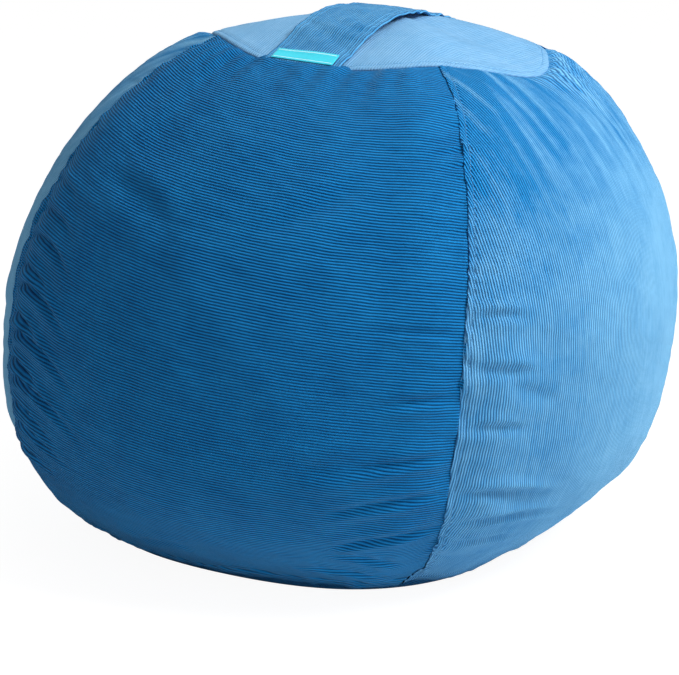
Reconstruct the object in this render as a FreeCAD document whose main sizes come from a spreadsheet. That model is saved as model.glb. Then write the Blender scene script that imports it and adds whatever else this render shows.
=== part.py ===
import FreeCAD, Part
import Sketcher
import math
import os
import re

# Bean bag chair: a corduroy cover of four side panels, a domed top and a flat base, over a
# zipped liner full of beads. Millimetres, +Z up, origin at the centre of the patch of base
# that rests on the floor. The front panel faces -Y, and the bag leans a little as it slumps.

SIZES = [
    # Cover: the outer shape
    ("base_radius", 286),
    ("rim_reach", 15),
    ("rim_height", 13.2),
    ("foot_gap", 1.2),
    ("belly_radius", 421),
    ("belly_height", 261),
    ("top_seam_radius", 205),
    ("top_seam_height", 593),
    ("crown_rise", 42),
    ("low_fullness", 3.25),
    ("high_fullness", 0.687),
    # How the whole bag slumps to one side
    ("lean", 62),
    ("lean_heading", 27.5),
    ("tilt", 4),
    # Cover: the cloth and its seams
    ("cover_wall", 2.5),
    ("lap_width", 14),
    ("lap_step", 8),
    ("lap_clearance", 0.9),
    ("panel_gap", 1.2),
    # Carry handle
    ("handle_width", 95),
    ("handle_wall", 2.5),
    ("handle_tab", 4),
    ("handle_clearance", 0.6),
    ("hand_gap", 5),
    # Label
    ("label_width", 78),
    ("label_depth", 20),
    ("label_wall", 0.8),
    ("label_clearance", 0.8),
    # Cover zipper
    ("zip_heading", 90),
    ("zip_span", 80),
    ("zip_opening", 16),
    # Liner
    ("liner_clearance", 4.9),
    ("liner_wall", 1),
    ("liner_gap", 1),
    ("liner_floor_gap", 4.5),
    ("liner_base_inset", 11),
    ("liner_rim_inset", 12.5),
    ("liner_rim_lift", 10),
    ("liner_zip_span", 60),
    # Zipper chain and slider, the same size in both zippers
    ("tape_width", 15),
    ("tape_wall", 0.9),
    ("tape_clearance", 1.4),
    ("tape_margin", 2),
    ("coil_slot", 1.6),
    ("coil_width", 2.4),
    ("coil_wall", 2.2),
    ("slider_length", 12),
    ("slider_width", 9),
    ("slider_wall", 1.2),
    ("slider_clearance", 0.4),
    ("slider_bite", 0.3),
    ("eye_post", 1.5),
    ("eye_width", 2.4),
    ("eye_gap", 1.8),
    ("eye_wall", 1),
    ("stop_length", 4),
    ("park_margin", 3),
    # Bead fill
    ("fill_clearance", 5),
    ("fill_floor_gap", 5),
    ("fill_base_inset", 27),
    ("fill_foot_inset", 16.5),
    ("fill_foot_lift", 11),
]

# Each side panel: the way it faces, in degrees from +X
PANELS = [("front", -90), ("right", 0), ("back", 90), ("left", 180)]

# Rings of the side walls: shares of the way from foot to belly, then from belly to top seam
LOW_SHARES = [0.19, 0.56]
HIGH_SHARES = [0, 0.37, 0.70, 0.90]
# Rings of the fill's crown, as shares of its rise
CROWN_SHARES = [0, 0.3, 0.6, 0.8, 0.93, 0.99]

NAMES = {name for name, _ in SIZES}

doc = FreeCAD.newDocument("BeanBag")
sheet = doc.addObject("Spreadsheet::Sheet", "Sizes")
for row, (name, value) in enumerate(SIZES, start=1):
    sheet.set(f"A{row}", name)
    sheet.set(f"B{row}", str(value))
    sheet.setAlias(f"B{row}", name)
doc.recompute()


# ---- Expressions ----

def formula(text):
    """The text with each size's name written as FreeCAD's expressions want it."""
    return re.sub(r"[a-z_]+", lambda word: f"Sizes.{word[0]}" if word[0] in NAMES else word[0], text)


def number(text):
    return float(sheet.evalExpression(formula(text)))


def bind(item, prop, text):
    item.setExpression(prop, formula(text))


def turned(degrees):
    """A placement that turns about Z."""
    return f"placement(vector(0; 0; 0); rotation(vector(0; 0; 1); {degrees}))"


def leaning(height, share):
    """The frame of a ring at a height, with a share of the bag's full lean and tilt."""
    return (
        f"placement(vector(lean * {share} * cos(lean_heading); lean * {share} * sin(lean_heading);"
        f" {height}); rotation(vector(-sin(lean_heading); cos(lean_heading); 0); tilt * {share}))"
    )


def raised(frame, height):
    return f"{frame} * placement(vector(0; 0; {height}); rotation(vector(0; 0; 1); 0))"


TOP_FRAME = leaning("top_seam_height", "1")
DOME_RADIUS = "((top_seam_radius ^ 2 + crown_rise ^ 2) / (2 * crown_rise))"
DOME_DROP = f"({DOME_RADIUS} - crown_rise)"


def dome_rim(depth):
    """Radius, at the top seam's level, of a dome that lies a depth under the cover's."""
    return f"sqrt(({DOME_RADIUS} - {depth}) ^ 2 - {DOME_DROP} ^ 2)"


# ---- Sketches ----

def origin_plane(body, role):
    return next(item for item in body.Origin.OriginFeatures if item.Role == role)


def new_sketch(body, name, role, frame=None):
    sketch = body.newObject("Sketcher::SketchObject", name)
    sketch.AttachmentSupport = [(origin_plane(body, role), "")]
    sketch.MapMode = "FlatFace"
    if frame:
        bind(sketch, "AttachmentOffset", frame)
    return sketch


def constrain(sketch, constraint, text):
    index = sketch.addConstraint(constraint)
    bind(sketch, f"Constraints[{index}]", text)


def place_point(sketch, edge, point, corner):
    """Fixes a point of the sketch at a corner given as two expressions."""
    for axis, line, text in (("X", -2, corner[0]), ("Y", -1, corner[1])):
        if text == "0":
            sketch.addConstraint(Sketcher.Constraint("PointOnObject", edge, point, line))
        else:
            at = Sketcher.Constraint("Distance" + axis, -1, 1, edge, point, number(text))
            constrain(sketch, at, text)


def curved_edge(start, end, radius, side):
    """An arc between two points, bulging to the right of the way from start to end, or its left."""
    chord = end - start
    middle = (start + end) / 2
    left = FreeCAD.Vector(-chord.y, chord.x, 0).normalize()
    centre = middle + left * side * math.sqrt(radius ** 2 - (chord.Length / 2) ** 2)
    first, last = (start, end) if side > 0 else (end, start)
    first_angle = math.atan2(first.y - centre.y, first.x - centre.x)
    last_angle = math.atan2(last.y - centre.y, last.x - centre.x)
    circle = Part.Circle(centre, FreeCAD.Vector(0, 0, 1), radius)
    return Part.ArcOfCircle(circle, first_angle, last_angle)


def outline(sketch, corners, arcs):
    """Closes a loop through corners. arcs holds, for an edge's number, its radius and its side."""
    points = [FreeCAD.Vector(number(x), number(y), 0) for x, y in corners]
    count = len(points)
    joints = []
    for edge, start in enumerate(points):
        end = points[(edge + 1) % count]
        if edge not in arcs:
            sketch.addGeometry(Part.LineSegment(start, end), False)
            joints.append((1, 2))
            continue
        radius, side = arcs[edge]
        sketch.addGeometry(curved_edge(start, end, number(radius), side), False)
        joints.append((1, 2) if side > 0 else (2, 1))
        constrain(sketch, Sketcher.Constraint("Radius", edge, number(radius)), radius)
    for edge, corner in enumerate(corners):
        after = (edge + 1) % count
        join = Sketcher.Constraint("Coincident", edge, joints[edge][1], after, joints[after][0])
        sketch.addConstraint(join)
        place_point(sketch, edge, joints[edge][0], corner)
    return sketch


def polar(radius, angle):
    return f"({radius}) * cos({angle})", f"({radius}) * sin({angle})"


def sector(body, name, frame, bands):
    """A ring sector's outline: bands of (radius, from angle, to angle), walked in order."""
    corners = []
    arcs = {}
    for radius, start, end in bands:
        side = 1 if number(end) > number(start) else -1
        arcs[len(corners)] = (radius, side)
        corners += [polar(radius, start), polar(radius, end)]
    return outline(new_sketch(body, name, "XY_Plane", frame), corners, arcs)


def disc(body, name, frame, radius):
    sketch = new_sketch(body, name, "XY_Plane", frame)
    sketch.addGeometry(Part.Circle(FreeCAD.Vector(), FreeCAD.Vector(0, 0, 1), number(radius)), False)
    sketch.addConstraint(Sketcher.Constraint("Coincident", 0, 3, -1, 1))
    constrain(sketch, Sketcher.Constraint("Radius", 0, number(radius)), radius)
    return sketch


# ---- Features ----

def new_body(label, frame=None):
    body = doc.addObject("PartDesign::Body", label)
    body.Label = label
    if frame:
        bind(body, "Placement", frame)
    return body


def loft(body, name, sketches):
    feature = body.newObject("PartDesign::AdditiveLoft", name)
    feature.Profile = sketches[0]
    feature.Sections = sketches[1:]
    feature.Ruled = False
    return feature


def revolve(body, name, sketch, angle="360"):
    feature = body.newObject("PartDesign::Revolution", name)
    feature.Profile = sketch
    feature.ReferenceAxis = (sketch, ["V_Axis"])
    feature.Midplane = True
    bind(feature, "Angle", angle)
    return feature


# ---- The side walls' rings ----

class Ring:
    """One level of the cover's outside: its radius, height and frame, as expressions."""

    def __init__(self, radius, height, frame=None):
        self.radius = radius
        self.height = height
        share = f"(({height}) / top_seam_height) ^ 2"
        self.frame = frame or leaning(height, share)


def low_ring(foot_radius, foot_height, share):
    """A ring between foot and belly, where the wall swells out."""
    left = f"(1 - {share}) ^ low_fullness"
    radius = f"(belly_radius - (belly_radius - {foot_radius}) * {left})"
    return Ring(radius, f"({foot_height} + (belly_height - {foot_height}) * {share})")


def high_ring(share):
    """A ring between belly and top seam, where the wall closes in to the shoulder."""
    reach = f"(1 - {share} ^ 2) ^ high_fullness"
    radius = f"(top_seam_radius + (belly_radius - top_seam_radius) * {reach})"
    return Ring(radius, f"(belly_height + (top_seam_height - belly_height) * {share})")


def top_ring(depth, wall, gap):
    """The side wall's last ring: its outside carries on the dome's slope past the seam."""
    rim = dome_rim(depth)
    run = f"({gap} + {wall} * ({DOME_RADIUS} - {depth}) / {rim})"
    drop = f"({run} * {rim} / {DOME_DROP})"
    return Ring(f"({rim} + {run})", f"(top_seam_height - {drop})", raised(TOP_FRAME, f"-{drop}"))


def slant(rings, index):
    """How much wider a wall is on the level than across its thickness, at one ring."""
    below = rings[max(index - 1, 0)]
    above = rings[min(index + 1, len(rings) - 1)]
    run = f"({above.radius} - {below.radius})"
    rise = f"({above.height} - {below.height})"
    return f"(sqrt({run} ^ 2 + {rise} ^ 2) / {rise})"


def side_rings(last):
    """The cover's rings, from its foot up to the last one."""
    foot = Ring(COVER_FOOT.radius, COVER_FOOT.height)
    low = [low_ring(foot.radius, foot.height, share) for share in LOW_SHARES]
    high = [high_ring(share) for share in HIGH_SHARES]
    return [foot, *low, *high, last]


def side_panel(label, facing, rings, walls, lapped):
    """Lofts a quarter of the side wall. walls holds each ring's outside radius and level width."""
    body = new_body(label)
    sections = []
    for index, (ring, (outside, width)) in enumerate(zip(rings, walls)):
        edge = f"panel_gap / ({outside}) * 90 / pi"
        start = f"({facing} - 45 + {edge})"
        end = f"({facing} + 45 - {edge})"
        bands = [(outside, start, end), (f"{outside} - {width}", end, start)]
        if lapped:
            under = f"{outside} - {width} * (1 + lap_clearance / cover_wall)"
            inner = f"{under} - {width}"
            lap_end = f"({end} + lap_width / ({outside}) * 180 / pi)"
            step = f"({end} - lap_step / ({outside}) * 180 / pi)"
            bands = [bands[0], (under, end, lap_end), (inner, lap_end, step), (bands[1][0], step, start)]
        sections.append(sector(body, f"{label}_ring_{index}", ring.frame, bands))
    loft(body, f"{label}_wall", sections)
    doc.recompute()
    return body


# ---- The foot: base panels, side panels and zippers meet here ----

class Foot:
    """Where a base panel's turned-up rim meets the side walls, and a zipper's middle line."""

    def __init__(self, floor, contact, rim_radius, rim_height):
        self.floor = floor
        self.contact = contact
        self.rim_radius = rim_radius
        self.rim_height = rim_height
        self.radius = f"({rim_radius} + foot_gap)"
        self.height = f"({rim_height} + foot_gap)"


COVER_FOOT = Foot("0", "base_radius", "(base_radius + rim_reach)", "rim_height")
LINER_FOOT = Foot(
    "(cover_wall + liner_floor_gap)",
    "(base_radius - liner_base_inset)",
    f"({COVER_FOOT.rim_radius} - liner_rim_inset)",
    "(rim_height + liner_rim_lift)",
)
# A zipper lies halfway between the slope of the base's rim and that of the wall above it
HEEL = low_ring(COVER_FOOT.radius, COVER_FOOT.height, LOW_SHARES[0])
RIM_SLOPE = "atan(rim_height / rim_reach)"
WALL_SLOPE = f"atan(({HEEL.height} - {COVER_FOOT.height}) / ({HEEL.radius} - {COVER_FOOT.radius}))"
ZIP_SLOPE = f"(({RIM_SLOPE} + {WALL_SLOPE}) / 2)"


# ---- Cover ----

COVER_TOP = top_ring("0", "cover_wall", "(handle_wall + 2 * handle_clearance)")


def trim_foot(body, foot):
    """Cuts the panel's foot away, to leave room for a zipper under it."""
    whole = body.Shape.Volume
    level = f"({foot.rim_height} + zip_opening * sin({ZIP_SLOPE}))"
    frame = f"placement(vector(0; 0; {level}); rotation(vector(0; 0; 1); 0))"
    pocket = body.newObject("PartDesign::Pocket", f"{body.Label}_zip_cut")
    pocket.Profile = disc(body, f"{body.Label}_zip_line", frame, "belly_radius")
    bind(pocket, "Length", level)
    doc.recompute()
    if not 0.9 < body.Shape.Volume / whole < 0.999:
        raise RuntimeError(f"{body.Label}'s foot was not trimmed")


def cover_side(name, facing):
    rings = side_rings(COVER_TOP)
    walls = []
    for index, ring in enumerate(rings):
        walls.append((ring.radius, f"(cover_wall * {slant(rings, index)})"))
    walls[-1] = (COVER_TOP.radius, f"(cover_wall * {DOME_RADIUS} / top_seam_radius)")
    body = side_panel(f"cover_{name}_panel", facing, rings, walls, lapped=True)
    if name == "back":
        trim_foot(body, COVER_FOOT)


def dome_panel(label, depth, wall):
    """A round cap: the zone of a spherical shell above the top seam."""
    body = new_body(label, TOP_FRAME)
    outer = f"({DOME_RADIUS} - {depth})"
    inner = f"({outer} - {wall})"
    rim = dome_rim(depth)
    corners = [
        ("0", f"{outer} - {DOME_DROP}"),
        ("0", f"{inner} - {DOME_DROP}"),
        (rim, f"sqrt({inner} ^ 2 - {rim} ^ 2) - {DOME_DROP}"),
        (rim, "0"),
    ]
    sketch = new_sketch(body, f"{label}_profile", "XZ_Plane")
    outline(sketch, corners, {1: (inner, -1), 3: (outer, 1)})
    revolve(body, f"{label}_cap", sketch)
    return body


def base_panel(label, foot, wall):
    """A flat round panel whose edge turns up to meet the side panels."""
    body = new_body(label)
    run = f"({foot.rim_radius} - {foot.contact})"
    rise = f"({foot.rim_height} - {foot.floor})"
    length = f"sqrt({run} ^ 2 + {rise} ^ 2)"
    inside = f"({foot.floor} + {wall})"
    corners = [
        ("0", foot.floor),
        (foot.contact, foot.floor),
        (foot.rim_radius, foot.rim_height),
        (f"{foot.rim_radius} - {wall} * {length} / {rise}", foot.rim_height),
        (f"{foot.contact} - {wall} * ({length} - {run}) / {rise}", inside),
        ("0", inside),
    ]
    sketch = new_sketch(body, f"{label}_profile", "XZ_Plane")
    outline(sketch, corners, {})
    revolve(body, f"{label}_dish", sketch)
    return body


# ---- Carry handle and label ----

TAB_INNER = "(top_seam_radius + handle_clearance)"
TAB_OUTER = f"({TAB_INNER} + handle_wall)"
HANDLE_APEX = "(crown_rise + hand_gap)"
HANDLE_RISE = "(crown_rise + hand_gap - handle_clearance)"
HANDLE_INNER = f"(({TAB_INNER} ^ 2 + {HANDLE_RISE} ^ 2) / (2 * {HANDLE_RISE}))"
HANDLE_OUTER = f"({HANDLE_INNER} + handle_wall)"
HANDLE_CENTRE = f"({HANDLE_APEX} - {HANDLE_INNER})"


def handle_level(radius):
    """Height of the handle's outside at a distance from the crown's middle."""
    return f"({HANDLE_CENTRE} + sqrt({HANDLE_OUTER} ^ 2 - ({radius}) ^ 2))"


def carry_handle():
    """A strip of an arched shell, with a tab at each end that goes down into the top seam."""
    body = new_body("carry_handle", TOP_FRAME)
    corners = [
        ("0", f"{HANDLE_APEX} + handle_wall"),
        ("0", HANDLE_APEX),
        (TAB_INNER, "handle_clearance"),
        (TAB_INNER, "-handle_tab"),
        (TAB_OUTER, "-handle_tab"),
        (TAB_OUTER, handle_level(TAB_OUTER)),
    ]
    sketch = new_sketch(body, "carry_handle_profile", "XZ_Plane")
    outline(sketch, corners, {1: (HANDLE_INNER, -1), 5: (HANDLE_OUTER, 1)})
    revolve(body, "carry_handle_shell", sketch)
    doc.recompute()
    whole = body.Shape.Volume
    for side, name in ((1, "right"), (-1, "left")):
        near = f"{side} * handle_width / 2"
        far = f"{side} * ({TAB_OUTER} + handle_width)"
        reach = f"({TAB_OUTER} + handle_width)"
        corners = [(near, f"-{reach}"), (far, f"-{reach}"), (far, reach), (near, reach)]
        sketch = new_sketch(body, f"carry_handle_{name}_trim", "XY_Plane")
        outline(sketch, corners, {})
        pocket = body.newObject("PartDesign::Pocket", f"carry_handle_{name}_cut")
        pocket.Profile = sketch
        pocket.Midplane = True
        bind(pocket, "Length", f"4 * ({HANDLE_APEX} + handle_tab + handle_wall)")
    doc.recompute()
    if body.Shape.Volume > whole * 0.5:
        raise RuntimeError("the handle's sides were not trimmed")
    return body


def sewn_label():
    """A flat tab that lies on the handle's front end, held along its front edge."""
    label = doc.addObject("Part::Box", "sewn_label")
    label.Label = "sewn_label"
    bind(label, "Length", "label_width")
    bind(label, "Width", "label_depth")
    bind(label, "Height", "label_wall")
    hinge = f"({TAB_OUTER} - label_wall)"
    level = f"({handle_level(hinge)} + label_clearance)"
    slope = f"(asin({hinge} / {HANDLE_OUTER}) - asin(label_depth / 2 / {HANDLE_OUTER}))"
    edge = f"placement(vector(-label_width / 2; -{hinge}; {level}); rotation(vector(1; 0; 0); {slope}))"
    bind(label, "Placement", f"{TOP_FRAME} * {edge}")
    return label


# ---- Zippers ----

class Zipper:
    """A zipper around an arc: its cross-section leans with the wall that it closes."""

    def __init__(self, prefix, foot, span, wall):
        self.prefix = prefix
        self.radius = f"({foot.rim_radius} + zip_opening / 2 * cos({ZIP_SLOPE}))"
        self.height = f"({foot.rim_height} + zip_opening / 2 * sin({ZIP_SLOPE}))"
        self.span = span
        self.tape_top = f"(-{wall} - tape_clearance)"
        self.tape_bottom = f"({self.tape_top} - tape_wall)"
        self.coil_top = f"({self.tape_top} + coil_wall)"
        self.plate_bottom = f"({self.coil_top} + slider_clearance)"
        self.plate_top = f"({self.plate_bottom} + slider_wall)"

    def at(self, along, out):
        """A point of the cross-section: up along the wall's slope, and outwards from the wall."""
        radius = f"{self.radius} + ({along}) * cos({ZIP_SLOPE}) + ({out}) * sin({ZIP_SLOPE})"
        height = f"{self.height} + ({along}) * sin({ZIP_SLOPE}) - ({out}) * cos({ZIP_SLOPE})"
        return radius, height

    def degrees(self, length):
        return f"({length} / {self.radius} * 180 / pi)"

    def sweep(self, body, name, points, angle, turn="0"):
        """Sweeps a cross-section around the arc, turned away from the middle of the body."""
        frame = f"placement(vector(0; 0; 0); rotation(vector(0; 1; 0); {turn}))"
        sketch = new_sketch(body, f"{body.Label}_{name}_profile", "XZ_Plane", frame)
        outline(sketch, [self.at(*point) for point in points], {})
        return revolve(body, f"{body.Label}_{name}", sketch, angle)

    def strip(self, body, name, along, out, angle, turn="0"):
        near, far = along
        low, high = out
        points = [(near, low), (far, low), (far, high), (near, high)]
        return self.sweep(body, name, points, angle, turn)

    def tape(self, side, way):
        body = new_body(f"{self.prefix}_tape_{side}", turned("zip_heading"))
        along = (f"{way} * coil_slot / 2", f"{way} * tape_width")
        span = f"{self.span} + 2 * tape_margin"
        self.strip(body, "band", along, (self.tape_bottom, self.tape_top), span)

    def coil(self, side, way):
        body = new_body(f"{self.prefix}_coil_{side}", turned("zip_heading"))
        along = (f"{way} * coil_slot / 2", f"{way} * (coil_slot / 2 + coil_width)")
        self.strip(body, "teeth", along, (self.tape_top, self.coil_top), self.span)

    def end_stops(self):
        """A clip across the chain past each end of the coils."""
        body = new_body(f"{self.prefix}_end_stops", turned("zip_heading"))
        along = ("-coil_slot / 2 - coil_width", "coil_slot / 2 + coil_width")
        length = self.degrees("stop_length")
        for name, way in (("first", -1), ("last", 1)):
            turn = f"({way} * ({self.span} / 2 + {length}))"
            self.strip(body, name, along, (self.tape_top, self.coil_top), length, turn)

    def slider(self):
        """Two plates joined by a blade that runs in the slot, with an eye for an opening pin."""
        park = f"(zip_heading - {self.span} / 2 + park_margin)"
        body = new_body(f"{self.prefix}_slider", turned(park))
        under = f"({self.tape_bottom} - slider_clearance)"
        bottom = f"({under} - slider_wall)"
        wide = "slider_width / 2"
        slim = "(coil_slot / 2 - slider_clearance)"
        half = [(wide, self.plate_top), (wide, self.plate_bottom), (slim, self.plate_bottom)]
        half += [(slim, under), (wide, under), (wide, bottom)]
        mirrored = [(f"-{along}", out) for along, out in reversed(half)]
        self.sweep(body, "plates", half + mirrored, self.degrees("slider_length"))
        sides = ("-eye_width / 2", "eye_width / 2")
        rise = f"({self.plate_top} + eye_gap)"
        root = f"({self.plate_top} - slider_bite)"
        apart = self.degrees("(slider_length / 2 - eye_post)")
        for name, way in (("front_post", -1), ("rear_post", 1)):
            turn = f"({way} * {apart})"
            self.strip(body, name, sides, (root, rise), self.degrees("eye_post"), turn)
        bridge = self.degrees("(slider_length - eye_post)")
        self.strip(body, "eye", sides, (f"{rise} - slider_bite", f"{rise} + eye_wall"), bridge)

    def build(self):
        for side, way in (("lower", -1), ("upper", 1)):
            self.tape(side, way)
            self.coil(side, way)
        self.slider()
        self.end_stops()


# ---- Liner and fill ----

# The liner lies clear of the cover's two layers where a seam is lapped
LINER_INSET = "(2 * cover_wall + lap_clearance + liner_clearance)"
LINER_TOP = top_ring(LINER_INSET, "liner_wall", "liner_gap")


def inset_radius(rings, index, inset):
    return f"({rings[index].radius} - {inset} * {slant(rings, index)})"


def liner_side(name, facing):
    """The same quarter wall as the cover's, one layer in, from the liner's own foot."""
    cover = side_rings(COVER_TOP)
    rings = [Ring(LINER_FOOT.radius, LINER_FOOT.height), *cover[1:-1], LINER_TOP]
    walls = [(LINER_FOOT.radius, f"(liner_wall * {slant(cover, 0)})")]
    for index in range(1, len(rings) - 1):
        width = f"(liner_wall * {slant(cover, index)})"
        walls.append((inset_radius(cover, index, LINER_INSET), width))
    rim = dome_rim(LINER_INSET)
    walls.append((LINER_TOP.radius, f"(liner_wall * ({DOME_RADIUS} - {LINER_INSET}) / {rim})"))
    body = side_panel(f"liner_{name}_panel", facing, rings, walls, lapped=False)
    if name == "back":
        trim_foot(body, LINER_FOOT)


FILL_INSET = f"({LINER_INSET} + liner_wall + fill_clearance)"


def bean_fill():
    """The beads, as one body that fills the liner."""
    body = new_body("bean_fill")
    cover = side_rings(COVER_TOP)
    base = Ring(
        f"({LINER_FOOT.contact} - fill_base_inset)",
        f"({LINER_FOOT.floor} + liner_wall + fill_floor_gap)",
    )
    foot = Ring(
        f"({LINER_FOOT.rim_radius} - fill_foot_inset)",
        f"({LINER_FOOT.rim_height} + fill_foot_lift)",
    )
    sections = [
        disc(body, "bean_fill_base", base.frame, base.radius),
        disc(body, "bean_fill_foot", foot.frame, foot.radius),
    ]
    for index in range(1, len(cover) - 1):
        radius = inset_radius(cover, index, FILL_INSET)
        sections.append(disc(body, f"bean_fill_ring_{index}", cover[index].frame, radius))
    for index, share in enumerate(CROWN_SHARES):
        level = f"((crown_rise - {FILL_INSET}) * {share})"
        radius = f"sqrt(({DOME_RADIUS} - {FILL_INSET}) ^ 2 - ({DOME_DROP} + {level}) ^ 2)"
        sections.append(disc(body, f"bean_fill_crown_{index}", raised(TOP_FRAME, level), radius))
    loft(body, "bean_fill_mass", sections)
    return body


# ---- The whole chair ----

for panel, facing in PANELS:
    cover_side(panel, facing)
dome_panel("cover_top_panel", "0", "cover_wall")
base_panel("cover_base_panel", COVER_FOOT, "cover_wall")
carry_handle()
sewn_label()
Zipper("cover_zipper", COVER_FOOT, "zip_span", "cover_wall").build()
for panel, facing in PANELS:
    liner_side(panel, facing)
dome_panel("liner_top_panel", LINER_INSET, "liner_wall")
base_panel("liner_base_panel", LINER_FOOT, "liner_wall")
Zipper("liner_zipper", LINER_FOOT, "liner_zip_span", "liner_wall").build()
bean_fill()
doc.recompute()

for item in doc.Objects:
    if {"Invalid", "Error"} & set(item.State):
        raise RuntimeError(f"{item.Name} did not build: {item.State}")
pieces = [item for item in doc.Objects if item.isDerivedFrom("PartDesign::Body")]
pieces.append(doc.getObject("sewn_label"))
for piece in pieces:
    if piece.Shape.isNull() or not piece.Shape.isValid():
        raise RuntimeError(f"{piece.Label} has no valid shape")
    if not piece.Shape.Solids:
        raise RuntimeError(f"{piece.Label} is not solid")

os.makedirs("parts", exist_ok=True)
for piece in pieces:
    piece.Shape.exportStep(f"parts/{piece.Label}.step")
    print(f"{piece.Label}: {len(piece.Shape.Solids)} solids, {piece.Shape.Volume / 1000:.1f} cm3")
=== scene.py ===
import math

import bpy
import numpy as np
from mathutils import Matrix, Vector


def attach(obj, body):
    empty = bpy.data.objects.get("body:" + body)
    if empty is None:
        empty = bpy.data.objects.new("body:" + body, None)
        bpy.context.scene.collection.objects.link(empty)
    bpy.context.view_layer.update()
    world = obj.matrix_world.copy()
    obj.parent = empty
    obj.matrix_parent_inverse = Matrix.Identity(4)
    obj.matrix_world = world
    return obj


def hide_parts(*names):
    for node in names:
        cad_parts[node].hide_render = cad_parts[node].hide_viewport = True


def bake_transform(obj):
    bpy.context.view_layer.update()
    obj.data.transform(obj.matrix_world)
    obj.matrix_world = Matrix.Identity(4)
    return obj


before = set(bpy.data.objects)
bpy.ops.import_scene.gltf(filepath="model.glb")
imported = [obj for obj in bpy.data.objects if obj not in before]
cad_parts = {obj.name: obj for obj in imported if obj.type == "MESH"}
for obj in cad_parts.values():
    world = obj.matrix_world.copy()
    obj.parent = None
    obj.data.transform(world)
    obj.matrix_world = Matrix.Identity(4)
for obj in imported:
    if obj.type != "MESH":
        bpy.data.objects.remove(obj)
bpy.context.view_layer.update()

# A corduroy bean bag chair, in metres. Angles are in degrees from +X; the front faces -Y.
# ---- Sizes, the same as the CAD model's ----
BASE_RADIUS = 0.286
RIM_RADIUS = 0.301
RIM_HEIGHT = 0.0132
FOOT_RADIUS = 0.3022
FOOT_HEIGHT = 0.0144
BELLY_RADIUS = 0.421
BELLY_HEIGHT = 0.261
SEAM_RADIUS = 0.205
SEAM_HEIGHT = 0.593
CROWN_RISE = 0.042
LOW_FULLNESS = 3.25
HIGH_FULLNESS = 0.687
LEAN = 0.062
LEAN_HEADING = math.radians(27.5)
TILT = math.radians(4)
HANDLE_HALF = 0.0475
HANDLE_CLEARANCE = 0.0006
HAND_GAP = 0.005
ZIP_HEADING = 90
ZIP_SPAN = 80
ZIP_TOP = 0.0235
LINER_INSET = 0.0108
FILL_INSET = 0.0168
# ---- Cloth ----
WALE = 0.003175
STITCH = 0.0033
RIM_WAVE = 0.0085
BASE_CORNERS = 0.035
BASE_CORNER_HEIGHT = 0.078
STRAP_DIP = 0.003
PANELS = {"front": -90, "right": 0, "back": 90, "left": 180}
SIDE_COLUMNS = 170
SIDE_ROWS = 230
TURN_COLUMNS = 360


# ---- Numbers ----

def eased(t):
    return t * t * (3 - 2 * t)


def smooth(low, high, x):
    return eased(np.clip((x - low) / (high - low), 0, 1))


def bell(x, width):
    return np.exp(-(x / width) ** 2)


def noise(x, seed):
    """Smooth noise along a line, from -1 to 1, with one random value for each whole x."""
    values = np.random.default_rng(seed).uniform(-1, 1, 4096)
    cell = np.floor(x).astype(int)
    t = eased(x - cell)
    return values[cell % 4096] * (1 - t) + values[(cell + 1) % 4096] * t


def lumps(x, y, turns, seed):
    """Smooth noise over a surface, from -1 to 1. It repeats every `turns` whole steps of x."""
    values = np.random.default_rng(seed).uniform(-1, 1, (turns, 512))
    column = np.floor(x).astype(int)
    row = np.floor(y).astype(int)
    s, t = eased(x - column), eased(y - row)
    left, right = (
        values[at % turns, row % 512] * (1 - t) + values[at % turns, (row + 1) % 512] * t
        for at in (column, column + 1)
    )
    return left * (1 - s) + right * s


def polar(radius, angle):
    turn = np.radians(angle)
    return radius * np.cos(turn), radius * np.sin(turn)


def unit(vectors):
    return vectors / np.maximum(np.linalg.norm(vectors, axis=-1, keepdims=True), 1e-12)


def all_round(count):
    """Angles all round the bag, as one row."""
    return np.linspace(-180, 180, count, endpoint=False)[None, :]


# ---- The bag's shape ----

def wall_profile():
    """Radius and height along the wall, from the edge of the floor patch up to the top seam."""
    low = np.linspace(0, 1, 200)[1:]
    turn = np.linspace(0, math.pi / 2, 300)[1:]
    left = (1 - low) ** LOW_FULLNESS
    reach = np.cos(turn) ** (2 * HIGH_FULLNESS)
    radius = [BASE_RADIUS, RIM_RADIUS, FOOT_RADIUS]
    height = [0, RIM_HEIGHT, FOOT_HEIGHT]
    radius = np.concatenate([
        radius,
        BELLY_RADIUS - (BELLY_RADIUS - FOOT_RADIUS) * left,
        SEAM_RADIUS + (BELLY_RADIUS - SEAM_RADIUS) * reach,
    ])
    height = np.concatenate([
        height,
        FOOT_HEIGHT + (BELLY_HEIGHT - FOOT_HEIGHT) * low,
        BELLY_HEIGHT + (SEAM_HEIGHT - BELLY_HEIGHT) * np.sin(turn),
    ])
    length = np.concatenate([[0], np.cumsum(np.hypot(np.diff(radius), np.diff(height)))])
    return length, radius, height


WALL_LENGTH, WALL_RADIUS, WALL_HEIGHT = wall_profile()
TOP = WALL_LENGTH[-1]
DOME_RADIUS = (SEAM_RADIUS ** 2 + CROWN_RISE ** 2) / (2 * CROWN_RISE)


def radius_at(along):
    return np.interp(along, WALL_LENGTH, WALL_RADIUS)


def height_at(along):
    return np.interp(along, WALL_LENGTH, WALL_HEIGHT)


def along_at(height):
    return np.interp(height, WALL_HEIGHT, WALL_LENGTH)


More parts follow.
